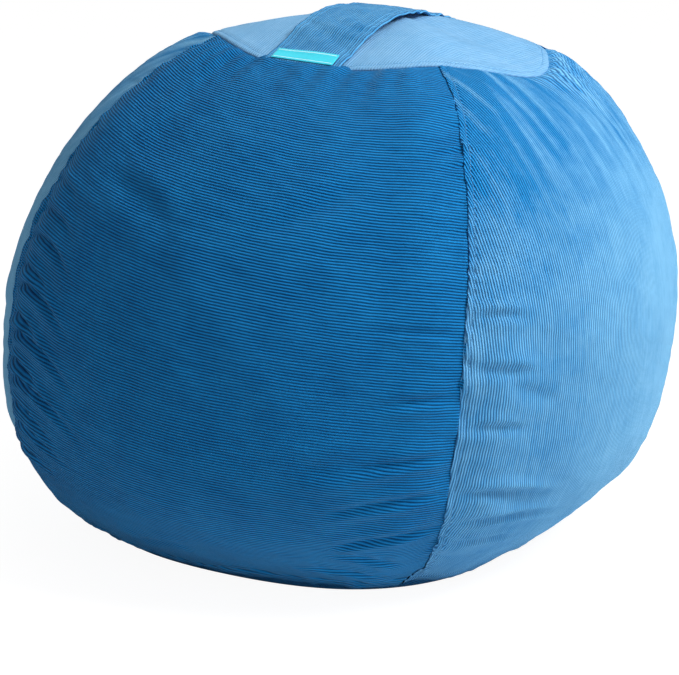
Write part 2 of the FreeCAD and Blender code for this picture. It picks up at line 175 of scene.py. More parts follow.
def leaned(x, y, rise, level):
    """Points given about the axis at a level, moved by the bag's lean and tilt there."""
    share = np.clip(level / SEAM_HEIGHT, 0, 1) ** 2
    cos, sin = math.cos(LEAN_HEADING), math.sin(LEAN_HEADING)
    ahead = x * cos + y * sin
    aside = -x * sin + y * cos
    turn = TILT * share
    forward = ahead * np.cos(turn) + rise * np.sin(turn) + LEAN * share
    up = level - ahead * np.sin(turn) + rise * np.cos(turn)
    return np.stack([forward * cos - aside * sin, forward * sin + aside * cos, up], axis=-1)


def rim_wave(angle, level, share=1.0):
    """The top seam rises where the side seams meet it and dips between them, less so at the strap."""
    near = np.clip(2 * level / SEAM_HEIGHT - 1, 0, 1) ** 2
    off = np.abs(np.abs(np.mod(angle + 180, 360) - 180) - 90)
    held = 1 - (1 - STRAP_DIP / RIM_WAVE) * smooth(26, 13, off)
    return RIM_WAVE * np.cos(4 * np.radians(angle - 45)) * near * share * held


def zip_turn(angle):
    """How far round from the zipper's middle, in degrees."""
    return np.abs(np.mod(angle - ZIP_HEADING + 180, 360) - 180)


def corners(angle, level):
    """The foot is squarer than the belly: it reaches out at the side seams, but not at the zipper."""
    free = smooth(ZIP_SPAN / 2 + 2, ZIP_SPAN / 2 + 30, zip_turn(angle))
    reach = BASE_CORNERS * free * bell(level, BASE_CORNER_HEIGHT)
    return 1 + reach * np.cos(4 * np.radians(angle - 45))


def wall_point(angle, along):
    """A point of the wall. Past the top seam it carries on under the dome."""
    level = height_at(along)
    radius = radius_at(along) * corners(angle, level) - np.clip(along - TOP, 0, None)
    rise = rim_wave(angle, level) + 0.3 * np.clip(along - TOP, 0, None)
    return leaned(*polar(radius, angle), rise, level)


def dome_point(angle, radius):
    rise = np.sqrt(DOME_RADIUS ** 2 - radius ** 2) - (DOME_RADIUS - CROWN_RISE)
    rise = rise + rim_wave(angle, SEAM_HEIGHT, np.clip(radius / SEAM_RADIUS, 0, 1))
    return leaned(*polar(radius, angle), rise, np.full_like(radius, SEAM_HEIGHT))


def top_point(x, y, rise):
    """A point given in the frame of the top seam's plane."""
    return leaned(x, y, rise, np.full_like(x, SEAM_HEIGHT))


# ---- Folds ----

def puckers(away, along, seed, spacing, reach):
    """Small ridges square to a seam, dying out away from it. away and along are in metres."""
    away = np.abs(away)
    slid = along + 0.25 * away
    fine = noise(slid / spacing * 1.6, seed) + 0.6 * noise(slid / spacing * 0.8, seed + 1)
    strength = 0.55 + 0.45 * noise(along / 0.05, seed + 2)
    return fine * strength * np.exp(-away / (reach * (0.8 + 0.4 * noise(along / 0.04, seed + 3))))


def gather(angle, along, at, slant, length, width, height):
    """A ridge that runs down from the top seam at an angle, leaning sideways by its slant."""
    down = TOP - along
    across = np.radians(angle - at) * radius_at(along) - slant * down
    fade = np.clip(1 - down / length, 0, 1) ** 1.3
    spread = width * (1 + 1.2 * down / length)
    shape = bell(across, spread) - 0.55 * bell(np.abs(across) - 1.6 * spread, 0.8 * spread)
    return height * fade * shape


def crease(angle, along, start, end, width, depth, curl=0.0):
    """A fold between two points, each an angle in degrees and a height in metres."""
    first, last = along_at(start[1]), along_at(end[1])
    middle = radius_at((first + last) / 2)
    x = np.radians(angle - start[0]) * middle
    y = along - first
    dx = math.radians(end[0] - start[0]) * middle
    dy = last - first
    length = math.hypot(dx, dy)
    t = (x * dx + y * dy) / length ** 2
    off = (y * dx - x * dy) / length - curl * length * 4 * t * (1 - t)
    fade = smooth(0, 0.35, t) * smooth(0, 0.45, 1 - t)
    ridge = bell(off - 1.3 * width, width) * 0.8 + bell(off + 1.5 * width, 1.2 * width) * 0.5
    return depth * fade * (bell(off, width * 0.8) * -1 + ridge)


# Gathers under the top seam: angle, slant, length, width, height
GATHERS = [
    (-132, 0.10, 0.10, 0.006, 0.0030), (-128, 0.05, 0.16, 0.008, 0.0034),
    (-123, 0.12, 0.12, 0.007, 0.0026), (-117, 0.08, 0.18, 0.009, 0.0030),
    (-110, 0.02, 0.11, 0.008, 0.0022), (-101, -0.06, 0.10, 0.008, 0.0020),
    (-88, 0.05, 0.13, 0.009, 0.0018), (-78, -0.10, 0.15, 0.009, 0.0024),
    (-70, -0.12, 0.17, 0.010, 0.0026), (-63, -0.05, 0.12, 0.008, 0.0022),
    (-55, -0.12, 0.09, 0.007, 0.0020), (-34, 0.06, 0.10, 0.008, 0.0016),
    (-24, 0.05, 0.13, 0.009, 0.0020), (-13, 0.08, 0.11, 0.008, 0.0024),
    (-6, 0.10, 0.14, 0.007, 0.0030), (-1, 0.14, 0.14, 0.006, 0.0046),
    (4, 0.10, 0.19, 0.006, 0.0056), (8.5, 0.16, 0.17, 0.0055, 0.0062),
    (13, 0.12, 0.21, 0.006, 0.0066), (17, 0.18, 0.16, 0.0055, 0.0062),
    (21.5, 0.14, 0.20, 0.006, 0.0066), (26, 0.20, 0.15, 0.0055, 0.0056),
    (31, 0.15, 0.18, 0.006, 0.0056), (37, 0.12, 0.11, 0.006, 0.0030),
]


def wall_relief(angle, along):
    """How far the cloth of the wall stands out from the smooth bag."""
    radius = radius_at(along)
    level = height_at(along)
    x = np.radians(angle) * radius
    relief = 0.0020 * lumps(angle / 15, along / 0.11, 24, 3)
    relief += 0.0011 * lumps(angle / 6, along / 0.045, 60, 4)
    relief += 0.0005 * lumps(angle / 3 + 2 * along / 0.02, along / 0.02, 120, 5)
    for index, facing in enumerate((-135, -45, 45, 135)):
        away = (np.mod(angle - facing + 180, 360) - 180) * math.pi / 180 * radius
        for side in (-1, 1):
            mask = (away * side > 0)
            small = puckers(away, along, 20 + 10 * index + 3 * side, 0.010, 0.020)
            wide = puckers(away, along, 60 + 10 * index + 3 * side, 0.034, 0.055)
            relief += mask * (0.0027 * small + 0.0040 * wide * smooth(0.62, 0.35, level))
        relief -= 0.0030 * bell(away, 0.018)
        relief += 0.0030 * bell(np.abs(away) - 0.05, 0.03)
    under = TOP - along
    relief += 0.0013 * puckers(under, x, 101, 0.011, 0.018)
    relief += 0.0018 * puckers(under, x, 105, 0.030, 0.060)
    relief += 0.0016 * puckers(along - 0.02, x, 111, 0.014, 0.020)
    relief += 0.0028 * puckers(along - 0.02, x, 117, 0.045, 0.060) * (level < 0.3)
    for at, slant, length, width, height in GATHERS:
        relief += gather(angle, along, at, slant, length, width, height)
    rng = np.random.default_rng(9)
    for at in np.arange(44, 224, 6.5):
        place = at + rng.uniform(-2, 2)
        slant, length = rng.uniform(-0.15, 0.15), rng.uniform(0.08, 0.18)
        width, height = rng.uniform(0.006, 0.01), rng.uniform(0.0015, 0.0032)
        relief += gather(angle, along, place, slant, length, width, height)
    for start, end, width, depth, curl in CREASES:
        relief += crease(angle, along, start, end, width, depth, curl)
    return relief * smooth(-0.001, 0.018, under) - 0.0006 * bell(under, 0.010)


# Long soft folds: where each starts and ends, its half width, its depth and how much it bends
CREASES = [
    # Slack at the front's left edge
    ((-138, 0.432), (-118, 0.425), 0.0060, 0.0032, 0.10),
    ((-138, 0.398), (-114, 0.386), 0.0060, 0.0045, 0.12),
    ((-138, 0.366), (-112, 0.348), 0.0058, 0.0058, 0.14),
    ((-138, 0.337), (-116, 0.322), 0.0050, 0.0048, 0.12),
    ((-138, 0.310), (-109, 0.288), 0.0060, 0.0068, 0.14),
    ((-138, 0.282), (-115, 0.266), 0.0050, 0.0054, 0.12),
    ((-138, 0.256), (-107, 0.232), 0.0062, 0.0070, 0.14),
    ((-138, 0.228), (-114, 0.212), 0.0052, 0.0056, 0.12),
    ((-138, 0.204), (-105, 0.180), 0.0060, 0.0066, 0.12),
    ((-138, 0.178), (-112, 0.162), 0.0050, 0.0050, 0.10),
    ((-138, 0.154), (-108, 0.134), 0.0056, 0.0052, 0.10),
    ((-138, 0.128), (-114, 0.114), 0.0050, 0.0042, 0.08),
    # Short gathers on both sides of the seam that faces the camera
    ((-44, 0.335), (-62, 0.345), 0.0060, 0.0030, -0.05),
    ((-44, 0.270), (-60, 0.262), 0.0070, 0.0036, -0.05),
    ((-44, 0.205), (-64, 0.185), 0.0065, 0.0038, -0.05),
    ((-44, 0.160), (-66, 0.135), 0.0070, 0.0042, -0.05),
    ((-44, 0.115), (-66, 0.088), 0.0065, 0.0042, -0.04),
    ((-45, 0.360), (-33, 0.350), 0.0070, 0.0036, 0.05),
    ((-45, 0.300), (-30, 0.285), 0.0080, 0.0036, 0.05),
    ((-45, 0.235), (-32, 0.222), 0.0065, 0.0034, 0.05),
    ((-45, 0.155), (-24, 0.128), 0.0070, 0.0050, 0.06),
    ((-45, 0.120), (-20, 0.095), 0.0065, 0.0046, 0.06),
    ((-45, 0.090), (-26, 0.074), 0.0060, 0.0034, 0.05),
    # Low on the front, where the foot seam's stitching fades into folds
    ((-48, 0.035), (-72, 0.055), 0.007, 0.0040, -0.04),
    ((-48, 0.060), (-66, 0.085), 0.008, 0.0035, -0.04),
    ((-110, 0.045), (-84, 0.070), 0.010, 0.0035, 0.05),
    ((-90, 0.035), (-70, 0.032), 0.008, 0.0030, 0.02),
    # Soft sags across the front and the right
    ((-118, 0.47), (-92, 0.42), 0.016, 0.0035, 0.05),
    ((-62, 0.50), (-84, 0.43), 0.016, 0.0030, 0.04),
    ((-52, 0.22), (-72, 0.19), 0.014, 0.0030, 0.04),
    ((-40, 0.16), (-22, 0.12), 0.012, 0.0035, -0.04),
    ((-40, 0.30), (-26, 0.25), 0.013, 0.0028, -0.05),
    ((-4, 0.07), (24, 0.10), 0.012, 0.0040, 0.05),
    # The far sides
    ((60, 0.10), (86, 0.16), 0.012, 0.0045, 0.05),
    ((96, 0.14), (128, 0.09), 0.012, 0.0050, 0.05),
    ((70, 0.36), (92, 0.30), 0.014, 0.0040, 0.05),
    ((138, 0.34), (164, 0.27), 0.012, 0.0060, 0.05),
    ((138, 0.24), (168, 0.16), 0.012, 0.0065, 0.05),
    ((196, 0.20), (222, 0.12), 0.012, 0.0060, -0.05),
    ((192, 0.33), (222, 0.27), 0.013, 0.0055, -0.05),
]


def foot_level(angle):
    """Height of the foot seam: it dips at the side seams, and makes room for the zipper."""
    wander = 0.0018 * noise(angle / 25 + 40, 8) + 0.0008 * noise(angle / 6 + 90, 9)
    plain = 0.0095 + wander + 0.003 * np.sin(np.radians(2 * angle + 40)) ** 2
    return plain + (ZIP_TOP - plain) * smooth(ZIP_SPAN / 2 + 16, ZIP_SPAN / 2 + 3, zip_turn(angle))


def seam_wander(along, seam):
    """Degrees by which a side seam strays from its straight line."""
    stray = 0.0022 * noise(along / 0.06, 200 + seam) + 0.0012 * noise(along / 0.015, 220 + seam)
    stray = stray - 0.016 * bell(height_at(along) - 0.012, 0.026)
    if seam == 0:
        stray = stray - 0.016 * bell(height_at(along) - 0.27, 0.16)
    return np.degrees(stray / np.maximum(radius_at(along), 0.1))


# ---- Meshes ----

def new_object(name, data):
    item = bpy.data.objects.new(name, data)
    bpy.context.scene.collection.objects.link(item)
    return item


def new_piece(name, vertices, faces):
    """A smooth shaded object."""
    mesh = bpy.data.meshes.new(name)
    mesh.from_pydata(vertices, [], faces)
    mesh.polygons.foreach_set("use_smooth", np.ones(len(faces), bool))
    return new_object(name, mesh)


def tube_faces(first, rings, corners):
    """The faces of a tube whose points start at first."""
    faces = []
    for ring in range(rings - 1):
        for corner in range(corners):
            a = first + ring * corners + corner
            b = first + ring * corners + (corner + 1) % corners
            faces.append((a, b, b + corners, a + corners))
    return faces


def grid_mesh(name, points, flat, closed=False, hub=False):
    """An object made of a grid of points, with each point's place in the flat cloth as its UV.
    A closed grid is a ring, and a hub fills the hole inside its last row."""
    rows, columns = points.shape[:2]
    index = np.arange(rows * columns).reshape(rows, columns)
    right = np.roll(index, -1, axis=1) if closed else index[:, 1:]
    left = index if closed else index[:, :-1]
    quads = np.stack([left[:-1], right[:-1], right[1:], left[1:]], axis=-1).reshape(-1, 4)
    vertices = points.reshape(-1, 3)
    places = flat.reshape(-1, 2)
    faces = quads.tolist()
    if hub:
        vertices = np.vstack([vertices, points[-1].mean(axis=0)])
        places = np.vstack([places, flat[-1].mean(axis=0)])
        last = index[-1]
        faces += [(int(a), int(b), rows * columns) for a, b in zip(last, np.roll(last, -1))]
    item = new_piece(name, vertices.tolist(), faces)
    mesh = item.data
    corners = np.zeros(len(mesh.loops), np.int32)
    mesh.loops.foreach_get("vertex_index", corners)
    layer = mesh.uv_layers.new(name="Flat")
    layer.data.foreach_set("uv", places[corners].astype(np.float32).ravel())
    mesh.update()
    return item


def sampler(points):
    """Reads a grid of points at fractional rows and columns."""
    rows, columns = points.shape[:2]

    def read(row, column):
        row = np.clip(row, 0, rows - 1.001)
        column = np.clip(column, 0, columns - 1.001)
        i, j = np.floor(row).astype(int), np.floor(column).astype(int)
        s, t = (row - i)[..., None], (column - j)[..., None]
        low = points[i, j] * (1 - t) + points[i, j + 1] * t
        high = points[i + 1, j] * (1 - t) + points[i + 1, j + 1] * t
        return low * (1 - s) + high * s

    return read


def stitches(name, paths, thickness=0.00055):
    """Sewing thread along paths. Each is points and normals; every stitch is a short low arch."""
    corners = 5
    vertices, faces = [], []
    for points, outward in paths:
        steps = np.concatenate([[0], np.cumsum(np.linalg.norm(np.diff(points, axis=0), axis=1))])
        count = int(steps[-1] / STITCH)
        for number in range(count):
            span = (number + np.array([0.04, 0.22, 0.5, 0.78, 0.96])) * STITCH
            line = np.stack([np.interp(span, steps, points[:, k]) for k in range(3)], axis=1)
            up = np.stack([np.interp(span, steps, outward[:, k]) for k in range(3)], axis=1)
            up = unit(up)
            line += up * (np.array([-0.5, 0.25, 0.5, 0.25, -0.5]) * thickness)[:, None]
            ahead = line[-1] - line[0]
            aside = unit(np.cross(ahead, up))
            size = thickness / 2 * np.array([0.5, 0.95, 1.05, 0.95, 0.5])
            first = len(vertices)
            for k in range(5):
                for corner in range(corners):
                    turn = 2 * math.pi * corner / corners
                    out = aside[k] * math.cos(turn) + up[k] * math.sin(turn)
                    vertices.append(line[k] + size[k] * out)
            faces += tube_faces(first, 5, corners)
    return new_piece(name, vertices, faces)


# ---- Materials ----

def new_material(name):
    material = bpy.data.materials.new(name)
    material.use_nodes = True
    tree = material.node_tree
    tree.nodes.clear()
    output = tree.nodes.new("ShaderNodeOutputMaterial")
    shader = tree.nodes.new("ShaderNodeBsdfPrincipled")
    tree.links.new(shader.outputs[0], output.inputs[0])
    return material, tree, shader


def settle(shader, values):
    """Sets what is the same all over a surface."""
    for name, value in values.items():
        shader.inputs[name].default_value = value


class Nodes:
    """Short ways to add nodes to a material."""

    def __init__(self, tree):
        self.tree = tree

    def plug(self, socket, value):
        if isinstance(value, bpy.types.NodeSocket):
            self.tree.links.new(value, socket)
        else:
            socket.default_value = value

    def math(self, operation, *values):
        node = self.tree.nodes.new("ShaderNodeMath")
        node.operation = operation
        for socket, value in zip(node.inputs, values):
            self.plug(socket, value)
        return node.outputs[0]

    def add(self, first, second):
        return self.math("ADD", first, second)

    def less(self, first, second):
        return self.math("SUBTRACT", first, second)

    def times(self, first, second):
        return self.math("MULTIPLY", first, second)

    def noise(self, vector, scale, detail=2.0, roughness=0.5):
        node = self.tree.nodes.new("ShaderNodeTexNoise")
        self.plug(node.inputs["Vector"], vector)
        node.inputs["Scale"].default_value = scale
        node.inputs["Detail"].default_value = detail
        node.inputs["Roughness"].default_value = roughness
        return node.outputs["Fac"]

    def join(self, x, y, z=0.0):
        node = self.tree.nodes.new("ShaderNodeCombineXYZ")
        for socket, value in zip(node.inputs, (x, y, z)):
            self.plug(socket, value)
        return node.outputs[0]

    def split(self, vector):
        node = self.tree.nodes.new("ShaderNodeSeparateXYZ")
        self.tree.links.new(vector, node.inputs[0])
        return tuple(node.outputs)

    def flat(self):
        """The cloth's own coordinates, in metres."""
        node = self.tree.nodes.new("ShaderNodeUVMap")
        node.uv_map = "Flat"
        return self.split(node.outputs[0])[:2]

    def ramp(self, place, low, high):
        node = self.tree.nodes.new("ShaderNodeMapRange")
        node.interpolation_type = "SMOOTHSTEP"
        self.plug(node.inputs["Value"], place)
        node.inputs["From Min"].default_value = low
        node.inputs["From Max"].default_value = high
        return node.outputs["Result"]

    def here(self):
        return self.tree.nodes.new("ShaderNodeTexCoord").outputs["Object"]

    def mix(self, share, first, second):
        node = self.tree.nodes.new("ShaderNodeMix")
        node.data_type = "RGBA"
        self.plug(node.inputs["Factor"], share)
        self.plug(node.inputs["A"], first)
        self.plug(node.inputs["B"], second)
        return node.outputs["Result"]

    def bump(self, height, distance, strength=1.0):
        node = self.tree.nodes.new("ShaderNodeBump")
        node.inputs["Distance"].default_value = distance
        node.inputs["Strength"].default_value = strength
        self.plug(node.inputs["Height"], height)
        return node.outputs[0]


def corduroy(name, slant, ridge, groove_weave_and_shade, nap_and_painted_sheen, relief=0.0012, wale_show=1.0, across=None, upward=None,
             nap_and_sheen_hold=0.50, sheen_streak_heights=None):
    """Ribbed pile cloth. slant turns the ribs from upright. The last of the three colours is the light
    colour of brushed nap and of painted sheen, which grows from the first to the second place given
    across the cloth, and up it, painting light and shade. The next to last argument holds it back, and
    the last is where it starts to break into streaks under a seam."""
    material, tree, shader = new_material(name)
    make = Nodes(tree)
    add, less, times = make.add, make.less, make.times
    x, y = make.flat()
    cos, sin = math.cos(math.radians(slant)), math.sin(math.radians(slant))
    cross = add(times(x, cos), times(y, sin))
    long = less(times(y, cos), times(x, sin))
    plane = make.join(cross, long)
    wobble = times(less(make.noise(plane, 22, 2), 0.5), 0.0022)
    count = make.math("DIVIDE", add(cross, wobble), WALE)
    part = make.math("ABSOLUTE", less(make.math("FRACT", count), 0.5))
    valley = make.math("POWER", times(part, 2.0), 1.15)
    rib = less(1.0, valley)
    stretched = make.join(times(cross, 2.2), long)
    pile = make.noise(stretched, 620, 2, 0.6)
    brushed = make.noise(plane, 17, 5, 0.62)
    patches = make.noise(make.join(times(cross, 3.0), long), 55, 3, 0.6)
    single = tree.nodes.new("ShaderNodeTexWhiteNoise")
    single.noise_dimensions = "1D"
    make.plug(single.inputs["W"], make.math("FLOOR", count))
    # Random nap tone, which also carries the painted sheen below
    nap_and_painted_sheen_share = add(times(brushed, 0.9), times(patches, 0.5))
    nap_and_painted_sheen_share = add(nap_and_painted_sheen_share, times(single.outputs["Value"], 0.16))
    nap_and_painted_sheen_share = add(nap_and_painted_sheen_share, times(less(pile, 0.5), 0.5))
    nap_and_painted_sheen_share = less(nap_and_painted_sheen_share, nap_and_sheen_hold)
    # Painted light and shade: the painted sheen grows across and up the cloth, towards where the panel
    # is lit
    for place, reach in ((x, across), (y, upward)):
        if reach:
            nap_and_painted_sheen_share = add(nap_and_painted_sheen_share, times(make.ramp(place, *reach), 0.6))
    # Streaks of painted sheen under the top seam, broken up by the nap
    if sheen_streak_heights:
        narrow = make.noise(make.join(times(x, 70.0), times(y, 6.0)), 1.0, 2)
        swing = times(less(narrow, 0.5), 2.4)
        nap_and_painted_sheen_share = add(nap_and_painted_sheen_share, times(swing, make.ramp(y, *sheen_streak_heights)))
    depth = add(times(rib, wale_show), 1.0 - wale_show)
    # Dark grooves: partly the thin ground weave, partly painted shade in the valleys between the ribs
    base = make.mix(depth, groove_weave_and_shade, ridge)
    # The painted sheen is laid over the base colours, more on the ribs than in the grooves
    lift = times(make.math("MAXIMUM", nap_and_painted_sheen_share, 0.0), make.math("MULTIPLY_ADD", depth, 0.8, 0.2))
    colour = make.mix(make.math("MINIMUM", lift, 1.0), base, nap_and_painted_sheen)
    make.plug(shader.inputs["Base Color"], colour)
    settle(shader, {"Roughness": 0.95, "Specular IOR Level": 0.08, "Sheen Weight": 0.22,
                    "Sheen Roughness": 0.35, "Sheen Tint": (0.40, 0.75, 1.0, 1)})
    height = add(rib, times(pile, 0.45))
    make.plug(shader.inputs["Normal"], make.bump(height, relief, 1.0))
    return material


def plain_cloth(name, colour, dark, pitch=0.0007):
    """A flat plain weave, used for the label, liner and zipper tape."""
    material, tree, shader = new_material(name)
    make = Nodes(tree)
    x, y, z = make.split(make.here())
    turns = 2 * math.pi / pitch
    warp = make.math("SINE", make.times(make.add(x, y), turns))
    weft = make.math("SINE", make.times(z, turns))
    weave = make.math("MULTIPLY_ADD", make.times(warp, weft), 0.5, 0.5)
    cloudy = make.noise(make.here(), 60, 3)
    share = make.add(make.times(weave, 0.45), make.times(cloudy, 0.6))
    make.plug(shader.inputs["Base Color"], make.mix(share, dark, colour))
    settle(shader, {"Roughness": 0.75, "Sheen Weight": 0.2})
    make.plug(shader.inputs["Normal"], make.bump(weave, 0.0002, 0.6))
    return material


def metal(name, colour):
    material, tree, shader = new_material(name)
    make = Nodes(tree)
    scuffs = make.noise(make.here(), 900, 4, 0.7)
    shade = make.noise(make.here(), 120, 2)
    dark = tuple(0.72 * value for value in colour[:3]) + (1,)
    make.plug(shader.inputs["Base Color"], make.mix(shade, dark, colour))
    shader.inputs["Metallic"].default_value = 1.0
    make.plug(shader.inputs["Roughness"], make.math("MULTIPLY_ADD", scuffs, 0.35, 0.22))
    make.plug(shader.inputs["Normal"], make.bump(scuffs, 0.00005, 0.4))
    return material


def plastic(name, colour):
    material, tree, shader = new_material(name)
    make = Nodes(tree)
    cloudy = make.noise(make.here(), 150, 3)
    dark = tuple(0.8 * value for value in colour[:3]) + (1,)
    make.plug(shader.inputs["Base Color"], make.mix(cloudy, dark, colour))
    make.plug(shader.inputs["Roughness"], make.math("MULTIPLY_ADD", cloudy, 0.3, 0.3))
    make.plug(shader.inputs["Normal"], make.bump(cloudy, 0.0001, 0.3))
    return material


def beads(name):
    """Small white beads packed together."""
    material, tree, shader = new_material(name)
    make = Nodes(tree)
    cells = tree.nodes.new("ShaderNodeTexVoronoi")
    make.plug(cells.inputs["Vector"], make.here())
    cells.inputs["Scale"].default_value = 250
    bead_edge_and_shade = cells.outputs["Distance"]
    # Greyer towards each bead's edge: painted shade between the packed beads
    make.plug(shader.inputs["Base Color"], make.mix(bead_edge_and_shade, (0.86, 0.86, 0.84, 1), (0.5, 0.5, 0.5, 1)))
    shader.inputs["Roughness"].default_value = 0.6
    make.plug(shader.inputs["Normal"], make.bump(make.less(1.0, bead_edge_and_shade), 0.0015, 0.8))
    return material


# Ridge, groove and light colours of one blue corduroy. The groove colours are partly painted shade and
# the light colours are painted sheen. The second, third and fourth sets are lighter copies of the first:
# painted light on the sides, the top and the strap, where the key lamp falls.
DEEP = (0.0042, 0.190, 0.525, 1), (0.0003, 0.009, 0.046, 1), (0.014, 0.275, 0.650, 1)
PAINTED_LIT_SIDES = (0.018, 0.290, 0.680, 1), (0.002, 0.060, 0.220, 1), (0.250, 0.590, 0.880, 1)
PAINTED_LIT_CROWN = (0.145, 0.350, 0.580, 1), (0.095, 0.270, 0.500, 1), (0.280, 0.490, 0.710, 1)
PAINTED_LIT_STRAP = (0.024, 0.250, 0.560, 1), (0.002, 0.045, 0.170, 1), (0.220, 0.560, 0.860, 1)


def ribbed_across(name):
    # Painted light: the sheen grows towards the bottom of the panel, where light bounces up off the
    # floor
    return corduroy(name, 84.5, *DEEP, upward=(0.20, 0.02))


def ribbed_up(name):
    # Painted light and shade: the sheen grows across the panel and towards its bottom, is held back
    # more, and breaks into streaks in painted shade under the top seam
    return corduroy(name, 0, *PAINTED_LIT_SIDES, across=(-0.26, 0.06), upward=(0.66, 0.42), nap_and_sheen_hold=0.92,
                    sheen_streak_heights=(0.48, 0.66))


CLOTHS = {
    "front": ribbed_across("corduroy_front"),
    "right": ribbed_up("corduroy_right"),
    "back": ribbed_across("corduroy_back"),
    "left": ribbed_up("corduroy_left"),
    "top": corduroy("corduroy_top", 0, *PAINTED_LIT_CROWN, 0.0005, 0.6),
    "base": corduroy("corduroy_base", 0, *DEEP),
    "strap": corduroy("corduroy_strap", 0, *PAINTED_LIT_STRAP, 0.0009),
}
THREAD = plain_cloth("thread", (0.10, 0.40, 0.70, 1), (0.03, 0.22, 0.50, 1), 0.0006)
LABEL_CLOTH = plain_cloth("label_cloth", (0.02, 0.66, 0.80, 1), (0.01, 0.54, 0.70, 1), 0.0009)
LABEL_LINE = plain_cloth("label_line", (0.60, 0.92, 0.97, 1), (0.40, 0.80, 0.92, 1), 0.0006)
LINER_CLOTH = plain_cloth("liner_cloth", (0.70, 0.71, 0.72, 1), (0.52, 0.53, 0.55, 1), 0.0012)
TAPE_CLOTH = plain_cloth("tape_cloth", (0.020, 0.17, 0.40, 1), (0.008, 0.08, 0.24, 1), 0.0009)
LINER_TAPE = plain_cloth("liner_tape", (0.60, 0.60, 0.60, 1), (0.42, 0.42, 0.42, 1), 0.0009)
COIL = plastic("coil", (0.02, 0.15, 0.36, 1))
LINER_COIL = plastic("liner_coil", (0.62, 0.62, 0.60, 1))
SLIDER = metal("slider", (0.62, 0.63, 0.65, 1))
BEADS = beads("beads")


def finish(item, material, body, slot, *nodes):
    """Gives a piece its cloth, and its body unless it bends between two."""
    item.data.materials.append(material)
    if body:
        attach(item, body)
    if nodes:
        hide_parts(*nodes)
    return item


# ---- Side panels ----

# A seam's section: distance in from the seam line, and how proud the cloth stands, in mm
FOLDED = [
    (9, -0.3), (4, -0.2), (1.2, -0.1), (0.2, 0.1), (-0.2, 0.5), (0.0, 1.0), (1.1, 1.35), (3, 1.5),
    (5, 1.3), (6.5, 0.6), (7.5, 0.5), (9, 1.2), (11.5, 1.2), (15, 0.8), (19, 0.4), (24, 0),
]
HEMMED = [
    (9, -0.4), (4, -0.3), (1.2, -0.2), (0.2, 0.2), (-0.3, 0.8), (0.0, 1.5), (1.1, 1.9), (5, 2.0),
    (12, 2.3), (15, 1.4), (18, -1.4), (21, 1.4), (24.5, 2.5), (28, 1.4), (31, -1.4), (34, 1.3),
    (38, 1.0), (46, 0),
]
TUCKED = [(24, 0), (17, 0), (11, 0), (6, -0.1), (3, -0.3), (1, -0.5), (-2, -0.8), (-8, -1.2)]
MARGIN = 0.024
FOLD_STITCH = 0.007
FOOT_MARGIN = 0.046
FOOT_STITCHES = (0.0180, 0.0310)


def wall_normal(angle, along):
    """The smooth wall's outward normal."""
    along = np.clip(along, 0.003, TOP - 0.004)
    across = wall_point(angle + 0.5, along) - wall_point(angle - 0.5, along)
    upward = wall_point(angle, along + 0.002) - wall_point(angle, along - 0.002)
    return unit(np.cross(across, upward))


class Side:
    """A side panel's grid: one edge is folded over its neighbour, the other is tucked under one."""

    def __init__(self, facing):
        folded, hemmed, tucked = (np.array(section) / 1000 for section in (FOLDED, HEMMED, TUCKED))
        spread = np.linspace(0, 1, SIDE_COLUMNS)[1:-1]
        climb = np.linspace(0, 1, SIDE_ROWS)[1:-1]
        seam = list(PANELS.values()).index(facing)
        guess = np.concatenate([np.zeros(len(folded)), spread, np.ones(len(tucked))])
        edge = along_at(foot_level(facing - 45 + 90 * guess))
        first, last = edge + FOOT_MARGIN, TOP - MARGIN
        along = np.vstack([
            edge + hemmed[:, :1],
            first + (last - first) * climb[:, None],
            np.broadcast_to(TOP - tucked[:, :1], (len(tucked), len(edge))),
        ])
        radius = radius_at(along) - np.clip(along - TOP, 0, None)
        degree = 180 / math.pi / radius
        start = facing - 45 + seam_wander(along, seam)
        end = facing + 45 + seam_wander(along, (seam + 1) % 4)
        near, far = start + MARGIN * degree, end - MARGIN * degree
        inner = slice(len(folded), len(folded) + len(spread))
        angle = np.empty_like(along)
        angle[:, :inner.start] = start[:, :inner.start] + folded[:, 0] * degree[:, :inner.start]
        angle[:, inner] = near[:, inner] + (far - near)[:, inner] * spread
        angle[:, inner.stop:] = end[:, inner.stop:] - tucked[:, 0] * degree[:, inner.stop:]
        sideways = np.concatenate([folded[:, 1], np.zeros(len(spread)), tucked[:, 1]])[None, :]
        upwards = np.concatenate([hemmed[:, 1], np.zeros(len(climb)), tucked[:, 1]])[:, None]
        lift = np.where(np.abs(upwards) > np.abs(sideways), upwards, sideways)
        lift = np.where(sideways < -0.0004, np.minimum(sideways, upwards), lift)
        beside = radius_at(TOP) * np.cos(np.radians(angle))
        over_strap = smooth(0.062, 0.050, np.abs(beside)) * (facing in (-90, 90))
        lift = lift + 0.0040 * over_strap * smooth(0.022, 0.003, TOP - along) * (along < TOP + 0.003)
        self.outward = wall_normal(angle, along)
        relief = wall_relief(angle, along)
        self.points = wall_point(angle, along) + self.outward * (lift + relief)[..., None]
        self.flat = np.stack([np.radians(angle - facing) * radius, along], axis=-1)

    def place_of(self, distance, section):
        """The row or column a distance in from an edge with that section, on its upper side."""
        reach = np.array(section)[6:, 0] / 1000
        return np.interp(distance, reach, np.arange(6, len(section)))

    def path(self, row, column):
        row, column = np.broadcast_arrays(row, column)
        return sampler(self.points)(row, column), sampler(self.outward)(row, column)


